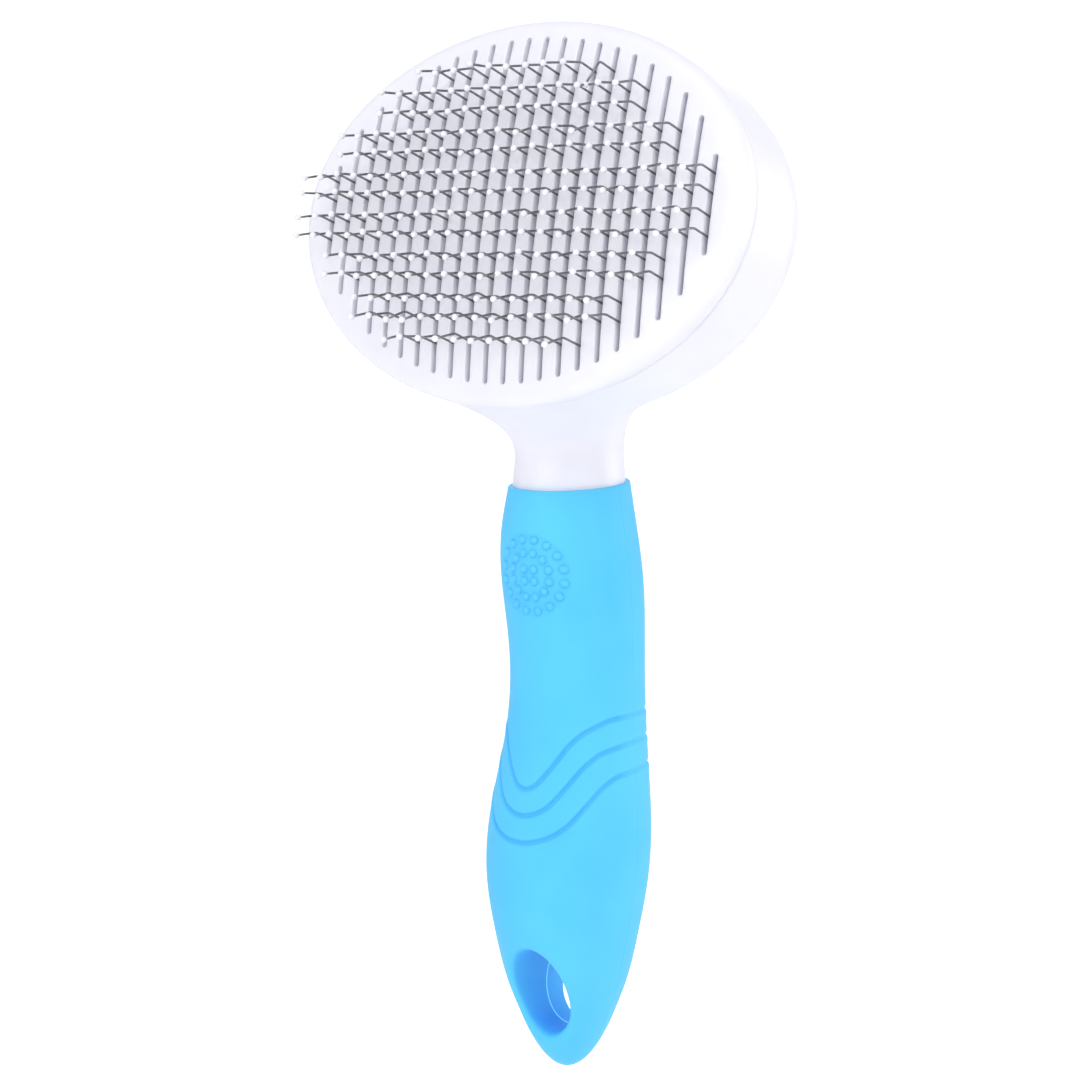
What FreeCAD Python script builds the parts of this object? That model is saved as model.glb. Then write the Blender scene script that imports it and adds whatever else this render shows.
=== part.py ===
"""Self-cleaning slicker brush: a parametric assembly of separate pieces, in millimetres.

Row frame: +Z runs up the handle to the head, -Y is the side the pins point to, +X is to the
right of someone who faces the pins. The origin is the centre of the hang hole.
Head frame, used by every piece of the head: x across the oval face, y up along the slots,
z outwards along the face normal, with its origin at the middle of the cleaning plate's face.
"""
import FreeCAD, Part
import math
import os

import Sketcher
from FreeCAD import Placement, Rotation, Vector

DOC = FreeCAD.newDocument("slicker_brush")
SHEET = DOC.addObject("Spreadsheet::Sheet", "dims")

DIMENSIONS = {
    # how far fused pieces reach into each other, and how far cutting tools run past a face
    "overlap": 0.5,
    "overrun": 1.0,
    # where the head sits on the handle
    "head_tilt": 13.0,
    "head_y": -21.3,
    "head_z": 150.0,
    # cleaning plate
    "plate_half_width": 49.4,
    "plate_half_height": 36.6,
    "plate_skin": 2.0,
    "plate_edge_radius": 2.4,
    "plate_dome_width": 129.0,
    "plate_dome_height": 68.0,
    "plate_dome_depth": 20.0,
    "seam_depth": 4.9,
    "seam_gap": 0.3,
    "skirt_inset": 2.7,
    "skirt_thickness": 1.6,
    "skirt_depth": 17.0,
    # slots in the plate
    "slot_count": 22,
    "slot_pitch": 4.0,
    "slot_width": 1.05,
    "slot_floor": -9.0,
    "slot_field_half_width": 43.65,
    "slot_field_half_height": 32.6,
    # blades that tie the plate to the pusher
    "blade_x": 20.0,
    "blade_y": 10.0,
    "blade_thickness": 2.0,
    "blade_width": 6.0,
    "blade_gap": 0.4,
    "blade_barb": 0.6,
    "blade_barb_end": 0.9,
    "blade_play": 0.1,
    # housing of the head
    "housing_depth": 26.0,
    "housing_rear_radius": 14.0,
    "housing_wall": 2.2,
    "housing_mouth": 5.0,
    "collar_inner_radius": 15.3,
    "collar_outer_radius": 17.6,
    "collar_proud": 1.5,
    "post_x": 30.0,
    "post_y": 19.0,
    "post_radius": 2.8,
    "post_foot": 5.0,
    # fixed pin base and its rubber pad
    "base_half_width": 44.0,
    "base_half_height": 31.2,
    "base_front": -11.5,
    "base_thickness": 2.0,
    "pad_inset": 0.8,
    "pad_thickness": 2.0,
    "pad_hole_gap": 0.4,
    "guide_radius": 2.5,
    "guide_end": -28.0,
    # pins
    "wire_radius": 0.22,
    "wire_bend_radius": 0.7,
    "crown_height": -11.2,
    "knee_height": 3.0,
    "knee_lean": 1.0,
    "tip_height": 8.9,
    "tip_lean": -0.9,
    "tip_radius": 0.62,
    "row_pair_pitch": 7.75,
    "row_gap": 3.6,
    "row_shift": -0.4,
    "outer_row_y": 25.3,
    # pusher, button and spring
    "travel": 8.5,
    "pusher_half_width": 34.0,
    "pusher_half_height": 24.0,
    "pusher_front": -22.5,
    "pusher_thickness": 2.0,
    "cup_radius": 8.5,
    "cup_inner_radius": 6.6,
    "cup_floor": -31.0,
    "cup_floor_thickness": 1.5,
    "hub_radius": 4.4,
    "hub_bore_radius": 2.56,
    "spigot_radius": 13.0,
    "spigot_height": 2.5,
    "button_radius": 15.0,
    "button_wall": 1.8,
    "button_edge_depth": -37.2,
    "button_end": -39.6,
    "button_edge_radius": 2.0,
    "button_dish_share": 0.55,
    "button_dish_drop": 0.3,
    "spring_radius": 5.5,
    "spring_wire_radius": 0.4,
    "spring_turns": 7,
    "spring_play": 0.05,
    # screws that hold the base
    "screw_head_radius": 2.3,
    "screw_head_height": 1.5,
    "screw_head_bevel": 0.5,
    "screw_shank_radius": 1.1,
    "screw_length": 8.0,
    "screw_point_start": 1.6,
    "screw_point_end": 0.3,
    "screw_hole_radius": 1.15,
    "screw_recess_radius": 1.0,
    "screw_recess_depth": 0.8,
    # grip, tang and hang hole
    "grip_top": 98.5,
    "grip_step": 10.0,
    "tang_inset": 3.2,
    "hole_half_width": 5.5,
    "hole_half_height": 7.0,
    "hole_flare_half_width": 6.3,
    "hole_flare_half_height": 9.6,
    "hole_throat_half_length": 3.0,
    "hole_flare_reach": 15.0,
}

# Grip sections from its top edge down: height, width across X, depth along Y, centre in Y.
GRIP_SECTIONS = [
    (98.5, 22.9, 24.8, -0.8),
    (90.0, 25.4, 27.5, -0.8),
    (80.0, 26.8, 29.1, 0.3),
    (70.0, 26.1, 28.7, 1.7),
    (60.0, 25.6, 28.2, 2.3),
    (50.0, 26.7, 29.2, 1.9),
    (40.0, 29.5, 31.0, 0.7),
    (30.0, 31.8, 32.5, -0.5),
    (20.0, 31.2, 32.4, -1.2),
    (10.0, 27.7, 29.6, -1.3),
    (0.0, 23.0, 24.4, -1.2),
    (-8.0, 17.0, 17.9, -1.1),
    (-14.0, 10.5, 11.2, -1.0),
    (-16.6, 5.6, 6.2, -1.0),
    (-17.5, 1.6, 1.8, -1.0),
]
TANG_SECTIONS = 9

# Neck sections from the grip up into the housing.
NECK_SECTIONS = [
    (98.5, 22.2, 22.0, -0.8),
    (103.0, 21.0, 20.8, -0.7),
    (108.0, 21.8, 21.4, -0.9),
    (113.0, 25.6, 23.4, -1.9),
    (119.0, 33.0, 25.0, -3.0),
    (127.0, 40.0, 25.0, -3.6),
    (135.0, 42.0, 22.0, -2.6),
]

# Pin rows as (first slot, last slot, pair index): each pair of rows is one node of staples that
# span the two rows inside a slot. The outermost row on each side has staples that span two slots.
PIN_PAIRS = [(5, 18, 2.5), (3, 20, 1.5), (1, 22, 0.5), (1, 22, -0.5), (3, 20, -1.5), (5, 18, -2.5)]
OUTER_ROW = (7, 16)

# An edge wider than this runs round the plate; two lengths nearer than NEAR are the same.
SEAM_EDGE = 2.0
NEAR = 0.01


def fill_sheet():
    row = 1
    for name, value in DIMENSIONS.items():
        SHEET.set(f"A{row}", name)
        SHEET.set(f"B{row}", str(value))
        SHEET.setAlias(f"B{row}", name)
        row += 1
    for group, sections in (("grip", GRIP_SECTIONS), ("neck", NECK_SECTIONS)):
        for index, section in enumerate(sections):
            for label, value in zip(("height", "width", "depth", "centre"), section):
                SHEET.set(f"A{row}", f"{group}_{label}_{index}")
                SHEET.set(f"B{row}", str(value))
                SHEET.setAlias(f"B{row}", f"{group}_{label}_{index}")
                row += 1
    DOC.recompute()


def size(name):
    """A plain number from the sheet."""
    return float(SHEET.get(name))


def bind(thing, **expressions):
    """Bind properties to the sheet; dims names in an expression are written as they are."""
    for name, expression in expressions.items():
        thing.setExpression(name, expression)
    return thing


def place(thing, x="0", y="0", z="0"):
    thing.setExpression("Placement.Base.x", x)
    thing.setExpression("Placement.Base.y", y)
    thing.setExpression("Placement.Base.z", z)
    return thing


def seat_on_head(thing):
    """Turn and move a piece from the head frame to the row frame."""
    thing.Placement = Placement(Vector(0, 0, 0), Rotation(Vector(1, 0, 0), 90 - size("head_tilt")))
    thing.setExpression("Placement.Rotation.Angle", "90 - dims.head_tilt")
    return place(thing, "0", "dims.head_y", "dims.head_z")


def cylinder(name, radius, bottom, top, x="0", y="0"):
    """An upright cylinder between two heights."""
    made = DOC.addObject("Part::Cylinder", name)
    bind(made, Radius=radius, Height=f"({top}) - ({bottom})")
    return place(made, x, y, bottom)


def block(name, width, depth, bottom, top, x="0", y="0"):
    """An upright box centred on x, y between two heights."""
    made = DOC.addObject("Part::Box", name)
    bind(made, Length=width, Width=depth, Height=f"({top}) - ({bottom})")
    return place(made, f"({x}) - ({width}) / 2", f"({y}) - ({depth}) / 2", bottom)


def oval(name, half_width, half_height, bottom, top):
    """An upright prism on an ellipse that is wider along X."""
    outline = DOC.addObject("Part::Ellipse", name + "_outline")
    bind(outline, MajorRadius=half_width, MinorRadius=half_height)
    place(outline, "0", "0", bottom)
    made = DOC.addObject("Part::Extrusion", name)
    made.Base = outline
    made.DirMode = "Custom"
    made.Dir = Vector(0, 0, 1)
    made.Solid = True
    bind(made, LengthFwd=f"({top}) - ({bottom})")
    return made


def fuse(name, pieces):
    made = DOC.addObject("Part::MultiFuse", name)
    made.Shapes = pieces
    return made


def cut(name, base, tool):
    made = DOC.addObject("Part::Cut", name)
    made.Base = base
    made.Tool = tool
    return made


def section(name, width, depth, centre, height):
    """A horizontal elliptical section of the handle, longer along whichever side is greater."""
    outline = DOC.addObject("Part::Ellipse", name)
    bind(outline, MajorRadius=f"max({width}; {depth}) / 2", MinorRadius=f"min({width}; {depth}) / 2")
    return place(outline, "0", centre, height)


def loft(name, sections, ruled=False):
    made = DOC.addObject("Part::Loft", name)
    made.Sections = sections
    made.Solid = True
    made.Ruled = ruled
    return made


def handle_loft(name, group, count, inset):
    """A loft through the first count sections of a group, each inset all round."""
    sections = []
    for index in range(count):
        width = f"(dims.{group}_width_{index} - 2 * {inset})"
        depth = f"(dims.{group}_depth_{index} - 2 * {inset})"
        made = section(
            f"{name}_{index}", width, depth, f"dims.{group}_centre_{index}", f"dims.{group}_height_{index}"
        )
        if size(f"{group}_depth_{index}") > size(f"{group}_width_{index}"):
            made.Placement.Rotation = Rotation(Vector(0, 0, 1), 90)
        sections.append(made)
    return loft(name, sections)


def corners(names, x, y):
    """The four places (+-x, +-y) with a suffix for each."""
    signs = [(1, 1), (-1, 1), (-1, -1), (1, -1)]
    return [(f"{names}_{i}", f"{sx} * {x}", f"{sy} * {y}") for i, (sx, sy) in enumerate(signs)]


def rounded(name, base, radius, picks):
    """Fillet the edges of base whose centre of mass passes the test."""
    DOC.recompute()
    made = DOC.addObject("Part::Fillet", name)
    made.Base = base
    chosen = [i + 1 for i, edge in enumerate(base.Shape.Edges) if picks(edge)]
    made.Edges = [(i, radius, radius) for i in chosen]
    return made


def dome_ellipsoid(name):
    """The ellipsoid that crowns the plate; its half axes are set in the order Z, X, Y."""
    made = DOC.addObject("Part::Ellipsoid", name)
    halves = ("dims.plate_dome_depth", "dims.plate_dome_width", "dims.plate_dome_height")
    return bind(made, Radius1=halves[0], Radius2=halves[1], Radius3=halves[2])


def make_face_plate():
    halves = ("dims.plate_half_width", "dims.plate_half_height")
    body_top = oval("plate_prism", *halves, "-dims.seam_depth", "dims.overrun")
    dome = dome_ellipsoid("plate_dome")
    place(dome, "0", "0", "-dims.plate_dome_depth")
    cap = DOC.addObject("Part::Common", "plate_cap")
    cap.Base = body_top
    cap.Tool = dome
    edge_height = -size("seam_depth") + size("overlap")
    softened = rounded(
        "plate_softened",
        cap,
        size("plate_edge_radius"),
        lambda edge: edge.BoundBox.ZMin > edge_height and edge.BoundBox.XLength > SEAM_EDGE,
    )
    inset = "dims.skirt_inset"
    skirt = oval(
        "plate_skirt",
        f"dims.plate_half_width - {inset}",
        f"dims.plate_half_height - {inset}",
        "-dims.skirt_depth",
        "-dims.seam_depth + dims.overlap",
    )
    inner_inset = "dims.skirt_inset - dims.skirt_thickness"
    cavity_prism = oval(
        "plate_cavity_prism",
        f"dims.plate_half_width - {inner_inset}",
        f"dims.plate_half_height - {inner_inset}",
        "-dims.skirt_depth - dims.overrun",
        "0",
    )
    cavity_dome = dome_ellipsoid("plate_cavity_dome")
    place(cavity_dome, "0", "0", "-dims.plate_dome_depth - dims.plate_skin")
    cavity = DOC.addObject("Part::Common", "plate_cavity")
    cavity.Base = cavity_prism
    cavity.Tool = cavity_dome
    shell = cut("plate_shell", fuse("plate_outer", [softened, skirt]), cavity)
    blades = []
    for name, x, y in corners("plate_blade", "dims.blade_x", "dims.blade_y"):
        foot = "dims.pusher_front - dims.pusher_thickness"
        blades.append(block(name, "dims.blade_thickness", "dims.blade_width", foot, "-dims.plate_skin", x, y))
        barb_width = "dims.blade_width + 2 * dims.blade_barb"
        toe = f"{foot} - dims.blade_barb_end"
        barb_top = f"{foot} - dims.blade_play"
        blades.append(block(name + "_barb", "dims.blade_thickness", barb_width, toe, barb_top, x, y))
        blades.append(block(name + "_toe", "dims.blade_thickness", "dims.blade_width", toe, foot, x, y))
    slots = []
    for index in range(int(size("slot_count"))):
        offset = f"({index} - (dims.slot_count - 1) / 2) * dims.slot_pitch"
        share = f"sqrt(1 - ({offset}) ^ 2 / dims.slot_field_half_width ^ 2)"
        length = f"2 * dims.slot_field_half_height * {share}"
        slots.append(
            block(f"plate_slot_{index}", "dims.slot_width", length, "dims.slot_floor", "dims.overrun", offset)
        )
    slotted = cut("plate_slotted", shell, fuse("plate_slots", slots))
    return seat_on_head(fuse("face_plate", [slotted] + blades))


def oval_shell(name, half_width, half_height, front, rear, radius):
    """An oval block whose rear edge is rounded."""
    prism = oval(name + "_prism", half_width, half_height, rear, front)
    return rounded(
        name, prism, radius, lambda edge: edge.BoundBox.ZMax < prism.Shape.BoundBox.ZMin + size("overlap")
    )


def make_handle_core():
    front = "-dims.seam_depth - dims.seam_gap"
    rear = "-dims.seam_depth - dims.housing_depth"
    outer = oval_shell(
        "housing_outer",
        "dims.plate_half_width",
        "dims.plate_half_height",
        front,
        rear,
        size("housing_rear_radius"),
    )
    inner = oval_shell(
        "housing_inner",
        "dims.plate_half_width - dims.housing_wall",
        "dims.plate_half_height - dims.housing_wall",
        "dims.housing_mouth",
        f"{rear} + dims.housing_wall",
        size("housing_rear_radius") - size("housing_wall"),
    )
    seat_on_head(outer)
    neck = handle_loft("neck", "neck", len(NECK_SECTIONS), "0")
    tang = handle_loft("tang", "grip", TANG_SECTIONS, "dims.tang_inset")
    outside = fuse("core_outside", [outer, neck, tang])
    hollow = cut("core_hollow", outside, seat_on_head(inner))
    collar = cylinder(
        "core_collar",
        "dims.collar_outer_radius",
        f"{rear} - dims.collar_proud",
        "dims.pusher_front - dims.pusher_thickness - dims.seam_gap",
    )
    posts = []
    for name, x, y in corners("core_post", "dims.post_x", "dims.post_y"):
        top = "dims.base_front - dims.base_thickness"
        posts.append(cylinder(name, "dims.post_radius", f"{rear} + dims.post_foot", top, x, y))
    inside = oval_shell(
        "core_post_limit",
        "dims.plate_half_width - dims.housing_wall / 2",
        "dims.plate_half_height - dims.housing_wall / 2",
        "dims.housing_mouth",
        f"{rear} + dims.housing_wall / 2",
        size("housing_rear_radius") - size("housing_wall") / 2,
    )
    trimmed = DOC.addObject("Part::Common", "core_posts")
    trimmed.Base = fuse("core_post_set", posts)
    trimmed.Tool = inside
    fitted = fuse("core_fitted", [hollow, seat_on_head(fuse("core_inside", [collar, trimmed]))])
    hole_end = "dims.button_end - dims.overrun"
    tools = [cylinder("core_button_hole", "dims.collar_inner_radius", hole_end, "dims.pusher_front")]
    for name, x, y in corners("core_pilot", "dims.post_x", "dims.post_y"):
        bottom = "dims.base_front - dims.screw_length"
        tools.append(cylinder(name, "dims.screw_hole_radius", bottom, "dims.base_front", x, y))
    return cut("handle_core", fitted, seat_on_head(fuse("core_tools", tools)))


def make_grip():
    outer = handle_loft("grip_outer", "grip", len(GRIP_SECTIONS), "0")
    tools = []
    for side in (-1, 1):
        rings = []
        for index, (grow, reach) in enumerate(
            ((0.0, "0"), (0.0, "dims.hole_throat_half_length"), (1.0, "dims.hole_flare_reach"))
        ):
            ring = DOC.addObject("Part::Ellipse", f"hole_ring_{side + 1}_{index}")
            wide = f"dims.hole_half_width + {grow} * (dims.hole_flare_half_width - dims.hole_half_width)"
            tall = f"dims.hole_half_height + {grow} * (dims.hole_flare_half_height - dims.hole_half_height)"
            bind(ring, MajorRadius=tall, MinorRadius=wide)
            ring.Placement = Placement(Vector(0, 0, 0), Rotation(Vector(1, 1, 1), 240))
            place(ring, "0", f"{side} * {reach}", "0")
            rings.append(ring)
        tools.append(loft(f"hole_side_{side + 1}", rings, ruled=True))
    tools.append(DOC.getObject("tang"))
    return cut("grip", outer, fuse("grip_tools", tools))


def make_base():
    rear = "dims.base_front - dims.base_thickness"
    plate = oval("base_oval", "dims.base_half_width", "dims.base_half_height", rear, "dims.base_front")
    guide = cylinder("base_guide", "dims.guide_radius", "dims.guide_end", f"{rear} + dims.overlap")
    tool_ends = (f"{rear} - dims.overrun", "dims.base_front + dims.overrun")
    tools = blade_windows("base", *tool_ends)
    for name, x, y in corners("base_hole", "dims.post_x", "dims.post_y"):
        tools.append(cylinder(name, "dims.screw_hole_radius", *tool_ends, x, y))
    return seat_on_head(cut("pin_base", fuse("base_solid", [plate, guide]), fuse("base_tools", tools)))


def blade_windows(name, bottom, top):
    """Openings that the plate's blades slide through."""
    width = "dims.blade_thickness + 2 * dims.blade_gap"
    depth = "dims.blade_width + 2 * dims.blade_barb + 2 * dims.blade_gap"
    return [
        block(label, width, depth, bottom, top, x, y)
        for label, x, y in corners(name + "_window", "dims.blade_x", "dims.blade_y")
    ]


def make_pad():
    top = "dims.base_front + dims.pad_thickness"
    plate = oval(
        "pad_oval",
        "dims.base_half_width - dims.pad_inset",
        "dims.base_half_height - dims.pad_inset",
        "dims.base_front",
        top,
    )
    tool_ends = ("dims.base_front - dims.overrun", f"{top} + dims.overrun")
    tools = blade_windows("pad", *tool_ends)
    for name, x, y in corners("pad_hole", "dims.post_x", "dims.post_y"):
        tools.append(cylinder(name, "dims.screw_head_radius + dims.pad_hole_gap", *tool_ends, x, y))
    return seat_on_head(cut("pin_pad", plate, fuse("pad_tools", tools)))


def make_pusher():
    rear = "dims.pusher_front - dims.pusher_thickness"
    floor = "dims.cup_floor - dims.cup_floor_thickness"
    halves = ("dims.pusher_half_width", "dims.pusher_half_height")
    plate = oval("pusher_oval", *halves, rear, "dims.pusher_front")
    cup = cylinder("pusher_cup", "dims.cup_radius", floor, rear)
    spigot = cylinder("pusher_spigot", "dims.spigot_radius", f"{rear} - dims.spigot_height", rear)
    spigot_bore = cylinder(
        "pusher_spigot_bore",
        "dims.spigot_radius - dims.button_wall",
        f"{rear} - dims.spigot_height - dims.overrun",
        rear,
    )
    ring = cut("pusher_ring", spigot, spigot_bore)
    above = "dims.pusher_front + dims.overrun"
    pocket = cylinder("pusher_pocket", "dims.cup_inner_radius", "dims.cup_floor", above)
    hub = cylinder("pusher_hub", "dims.hub_radius", floor, "dims.pusher_front")
    bore = cylinder("pusher_bore", "dims.hub_bore_radius", f"{floor} - dims.overrun", above)
    hollow = cut("pusher_hollow", fuse("pusher_solid", [plate, cup, ring]), pocket)
    windows = []
    for label, x, y in corners("pusher_window", "dims.blade_x", "dims.blade_y"):
        width = "dims.blade_thickness + 2 * dims.blade_play"
        depth = "dims.blade_width + 2 * dims.blade_play"
        windows.append(block(label, width, depth, f"{rear} - dims.overrun", above, x, y))
    tools = fuse("pusher_tools", windows + [bore])
    return seat_on_head(cut("pusher", fuse("pusher_with_hub", [hollow, hub]), tools))


def origin_feature(body, role):
    """A plane or an axis of the body's own origin."""
    return [feature for feature in body.Origin.OriginFeatures if feature.Role == role][0]


def new_sketch(body, name, role):
    sketch = body.newObject("Sketcher::SketchObject", name)
    sketch.AttachmentSupport = (origin_feature(body, role), [""])
    sketch.MapMode = "FlatFace"
    return sketch


def outline(sketch, points, closed=True):
    """Straight lines through points given as pairs of expressions, each point bound to the sheet."""
    values = [(evaluate(sketch, x), evaluate(sketch, y)) for x, y in points]
    count = len(points) if closed else len(points) - 1
    for index in range(count):
        start = Vector(*values[index], 0)
        end = Vector(*values[(index + 1) % len(points)], 0)
        sketch.addGeometry(Part.LineSegment(start, end), False)
    for index in range(count - 1):
        sketch.addConstraint(Sketcher.Constraint("Coincident", index, 2, index + 1, 1))
    if closed:
        sketch.addConstraint(Sketcher.Constraint("Coincident", count - 1, 2, 0, 1))
    for index, (x, y) in enumerate(points):
        line, end = (index, 1) if index < count else (count - 1, 2)
        for kind, value, expression in zip(("DistanceX", "DistanceY"), values[index], (x, y)):
            number = sketch.addConstraint(Sketcher.Constraint(kind, -1, 1, line, end, value))
            sketch.setExpression(f"Constraints[{number}]", expression)
    return sketch


def evaluate(thing, expression):
    result = thing.evalExpression(expression)
    return float(getattr(result, "Value", result))


def new_body(name):
    return DOC.addObject("PartDesign::Body", name)


def revolve(body, sketch, name):
    made = body.newObject("PartDesign::Revolution", name)
    made.Profile = sketch
    made.ReferenceAxis = (sketch, ["V_Axis"])
    made.Angle = 360
    return made


def make_button():
    body = new_body("push_button")
    rear = "dims.pusher_front - dims.pusher_thickness"
    inner = "(dims.button_radius - dims.button_wall)"
    sketch = new_sketch(body, "button_profile", "XZ_Plane")
    outline(
        sketch,
        [
            (inner, rear),
            ("dims.button_radius", rear),
            ("dims.button_radius", "dims.button_edge_depth"),
            ("dims.button_radius * dims.button_dish_share", "dims.button_end + dims.button_dish_drop"),
            ("0", "dims.button_end"),
            ("0", "dims.button_end + dims.button_wall"),
            (inner, "dims.button_edge_depth + dims.button_wall"),
        ],
    )
    revolve(body, sketch, "button_turned")
    DOC.recompute()
    fillet = body.newObject("PartDesign::Fillet", "button_edge")
    turned = DOC.getObject("button_turned")
    rim = size("button_radius")
    edges = [
        f"Edge{i + 1}"
        for i, edge in enumerate(turned.Shape.Edges)
        if abs(edge.BoundBox.XMax - rim) < NEAR
        and abs(edge.BoundBox.ZMax - size("button_edge_depth")) < NEAR
        and edge.BoundBox.ZLength < NEAR
    ]
    fillet.Base = (turned, edges)
    bind(fillet, Radius="dims.button_edge_radius")
    return seat_on_head(body)


def pattern(body, name, axis, count, length):
    made = DOC.addObject("PartDesign::LinearPattern", name)
    made.Direction = (origin_feature(body, axis), [""])
    bind(made, Occurrences=count, Length=length)
    return made


def make_screws():
    body = new_body("base_screws")
    sketch = new_sketch(body, "screw_profile", "XZ_Plane")
    top = "dims.base_front + dims.screw_head_height"
    outline(
        sketch,
        [
            ("0", f"{top} - dims.screw_recess_depth"),
            ("dims.screw_recess_radius", f"{top} - dims.screw_recess_depth"),
            ("dims.screw_recess_radius", top),
            ("dims.screw_head_radius - dims.screw_head_bevel", top),
            ("dims.screw_head_radius", f"{top} - dims.screw_head_bevel"),
            ("dims.screw_head_radius", "dims.base_front"),
            ("dims.screw_shank_radius", "dims.base_front"),
            ("dims.screw_shank_radius", "dims.base_front - dims.screw_length + dims.screw_point_start"),
            ("0", "dims.base_front - dims.screw_length + dims.screw_point_end"),
        ],
    )
    sketch.setExpression("AttachmentOffset.Base.x", "-dims.post_x")
    sketch.setExpression("AttachmentOffset.Base.z", "dims.post_y")
    turned = revolve(body, sketch, "screw_turned")
    DOC.recompute()
    across = pattern(body, "screws_across", "X_Axis", "2", "2 * dims.post_x")
    upwards = pattern(body, "screws_upwards", "Y_Axis", "2", "2 * dims.post_y")
    grid = body.newObject("PartDesign::MultiTransform", "screw_grid")
    grid.Originals = [turned]
    grid.Transformations = [across, upwards]
    body.Tip = grid
    return seat_on_head(body)


def make_spring():
    rear = "dims.cup_floor"
    front = "dims.base_front - dims.base_thickness"
    wire = "dims.spring_wire_radius"
    height = f"(({front}) - ({rear}) - 2 * {wire} - 2 * dims.spring_play)"
    coil = DOC.addObject("Part::Helix", "spring_coil")
    bind(coil, Radius="dims.spring_radius", Height=height, Pitch=f"{height} / dims.spring_turns")
    ring = DOC.addObject("Part::Circle", "spring_wire")
    bind(ring, Radius=wire)
    ring.Placement.Rotation = Rotation(Vector(1, 0, 0), 90)
    place(ring, "dims.spring_radius", "0", "0")
    made = DOC.addObject("Part::Sweep", "return_spring")
    made.Sections = [ring]
    made.Spine = (coil, ["Edge1"])
    made.Solid = True
    made.Frenet = True
    made.Placement = Placement(Vector(0, 0, 0), Rotation(Vector(1, 0, 0), 90 - size("head_tilt")))
    made.setExpression("Placement.Rotation.Angle", "90 - dims.head_tilt")
    start = f"({rear} + {wire} + dims.spring_play)"
    return place(
        made,
        "0",
        f"dims.head_y - {start} * cos(dims.head_tilt)",
        f"dims.head_z + {start} * sin(dims.head_tilt)",
    )


def bent_wire(points, radius, bend):
    """A round wire through points, with an arc of the bend radius at each corner."""
    edges = []
    start = points[0]
    for before, corner, after in zip(points, points[1:], points[2:]):
        into = (corner - before).normalize()
        away = (after - corner).normalize()
        half_turn = into.getAngle(away) / 2
        reach = bend * math.tan(half_turn)
        first = corner - into * reach
        last = corner + away * reach
        inward = (away - into).normalize()
        middle = corner + inward * (bend / math.cos(half_turn) - bend)
        edges.append(Part.LineSegment(start, first).toShape())
        edges.append(Part.Arc(first, middle, last).toShape())
        start = last
    edges.append(Part.LineSegment(start, points[-1]).toShape())
    path = Part.Wire(edges)
    profile = Part.Wire([Part.makeCircle(radius, points[0], points[1] - points[0])])
    return path.makePipeShell([profile], True, True)


def pin_points(x, y):
    """Base, knee and tip of the pin whose base is at x, y."""
    knee = Vector(x, y + size("knee_lean"), size("knee_height"))
    tip = Vector(x, y + size("tip_lean"), size("tip_height"))
    return [Vector(x, y, size("crown_height")), knee, tip]


def slot_x(number):
    return (number - (size("slot_count") + 1) / 2) * size("slot_pitch")


def staple(first, second):
    """One wire with two pins, joined by a crown under the pad."""
    points = list(reversed(pin_points(*first))) + pin_points(*second)
    return bent_wire(points, size("wire_radius"), size("wire_bend_radius"))


def group_of_solids(name, shapes):
    made = DOC.addObject("Part::Feature", name)
    made.Shape = Part.Compound(shapes)
    return seat_on_head(made)


def tip_ball(x, y):
    return Part.makeSphere(size("tip_radius"), pin_points(x, y)[2])


def make_pins():
    """The pins stand on the head in pairs of rows, with a single row outside each end."""
    made = []
    half_gap = size("row_gap") / 2
    groups = []
    for first, last, place_in_pairs in PIN_PAIRS:
        y = place_in_pairs * size("row_pair_pitch") + size("row_shift")
        columns = [slot_x(number) for number in range(first, last + 1)]
        groups.append([((x, y - half_gap), (x, y + half_gap)) for x in columns])
    for side in (1, -1):
        y = side * size("outer_row_y") + size("row_shift")
        columns = [slot_x(number) for number in range(OUTER_ROW[0], OUTER_ROW[1] + 1, 2)]
        outer = [((x, y), (x + size("slot_pitch"), y)) for x in columns]
        groups.insert(0 if side == 1 else len(groups), outer)
    for number, group in enumerate(groups, start=1):
        made.append(group_of_solids(f"pins_{number}", [staple(*ends) for ends in group]))
        made.append(group_of_solids(f"pin_tips_{number}", [tip_ball(*end) for ends in group for end in ends]))
    return made


def check(pieces):
    DOC.recompute()
    failed = [thing.Name for thing in DOC.Objects if {"Invalid", "Error"} & set(thing.State)]
    for piece in pieces:
        shape = piece.Shape
        if shape.isNull() or not shape.isValid() or not shape.Solids:
            failed.append(piece.Name)
    if failed:
        raise RuntimeError("these objects failed: " + ", ".join(failed))


def main():
    fill_sheet()
    pieces = [
        make_face_plate(),
        make_handle_core(),
        make_grip(),
        make_base(),
        make_pad(),
        make_pusher(),
        make_button(),
        make_screws(),
        make_spring(),
    ] + make_pins()
    for piece in pieces:
        piece.Label = piece.Name
    check(pieces)
    os.makedirs("parts", exist_ok=True)
    for piece in pieces:
        piece.Shape.exportStep(f"parts/{piece.Label}.step")
        print(f"{piece.Label}: {len(piece.Shape.Solids)} solids, {piece.Shape.Volume:.1f} mm3")


main()
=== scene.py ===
"""Looks of the self-cleaning slicker brush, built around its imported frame.

Lengths are in millimetres here and become metres when a mesh is made. In the row frame +Z runs up
the handle, -Y is the side the pins point to, and the origin is the centre of the hang hole.
In the head frame x runs across the oval, y up along the slots and z out of the face.
"""

import math

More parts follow.
